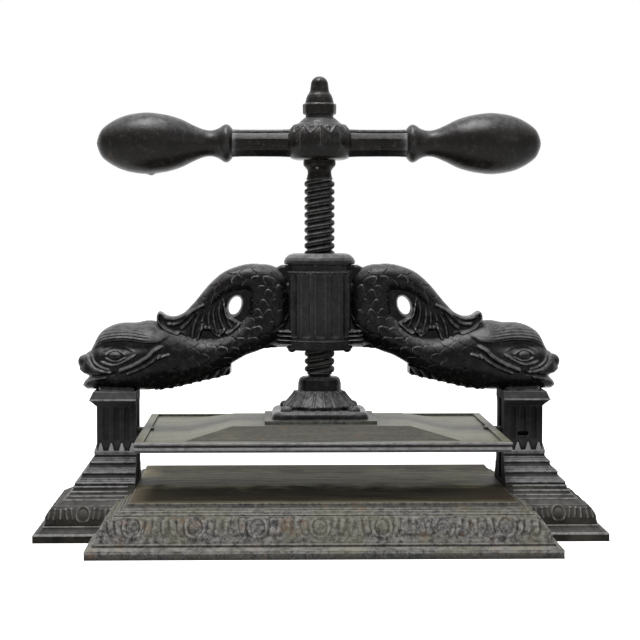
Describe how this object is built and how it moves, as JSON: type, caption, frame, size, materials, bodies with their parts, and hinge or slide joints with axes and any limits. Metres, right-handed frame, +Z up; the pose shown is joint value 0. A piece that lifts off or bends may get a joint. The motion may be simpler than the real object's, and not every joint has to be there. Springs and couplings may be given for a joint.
{
  "type": "copying press",
  "caption": "Cast iron screw press for copying letters: moulded base, fluted columns, an arch of two dolphins, a fast screw with a weighted handle and a sliding platen.",
  "frame": {"origin": "centre of the resting face, on the table, under the screw's axis", "axes": "+X to the operator's right along the arch, +Y to the back, +Z up along the screw"},
  "size_m": [0.4808, 0.326, 0.3917],
  "materials": {
    "black_iron": "old black japanned cast iron, satin, worn grey on high edges",
    "worn_iron": "bare worn cast iron, grey-green with streaks and traces of old paint",
    "gunmetal": "darkened gunmetal",
    "dark_steel": "oiled, darkened steel"
  },
  "bodies": {
    "frame": {"base_casting": "worn_iron", "left_wing": "black_iron", "right_wing": "black_iron", "left_column": "black_iron", "right_column": "black_iron", "dolphin_arch": "black_iron", "screw_nut": "gunmetal", "left_nut_screw": "dark_steel", "right_nut_screw": "dark_steel", "left_tie_bolt": "dark_steel", "right_tie_bolt": "dark_steel", "left_tie_washer": "dark_steel", "right_tie_washer": "dark_steel"},
    "pressing_plate": {"platen": "worn_iron", "swivel_socket": "black_iron", "socket_screw_1": "dark_steel", "socket_screw_2": "dark_steel", "socket_screw_3": "dark_steel", "socket_screw_4": "dark_steel", "thrust_pad": "dark_steel"},
    "spindle": {"screw": "dark_steel", "handle": "black_iron", "handle_washer": "dark_steel", "finial_nut": "black_iron"}
  },
  "joints": [
    {"name": "platen_slide", "type": "slide", "parent": "frame", "child": "pressing_plate", "axis": [0, 0, 1], "range_m": [-0.0397, 0.021]},
    {"name": "screw_turn", "type": "hinge", "parent": "pressing_plate", "child": "spindle", "pos_m": [0, 0, 0.1001], "axis": [0, 0, 1], "range_deg": [-1074, 568]}
  ],
  "couplings": [
    {"joint": "platen_slide", "follows": "screw_turn", "m_per_rad": 0.0021168}
  ]
}
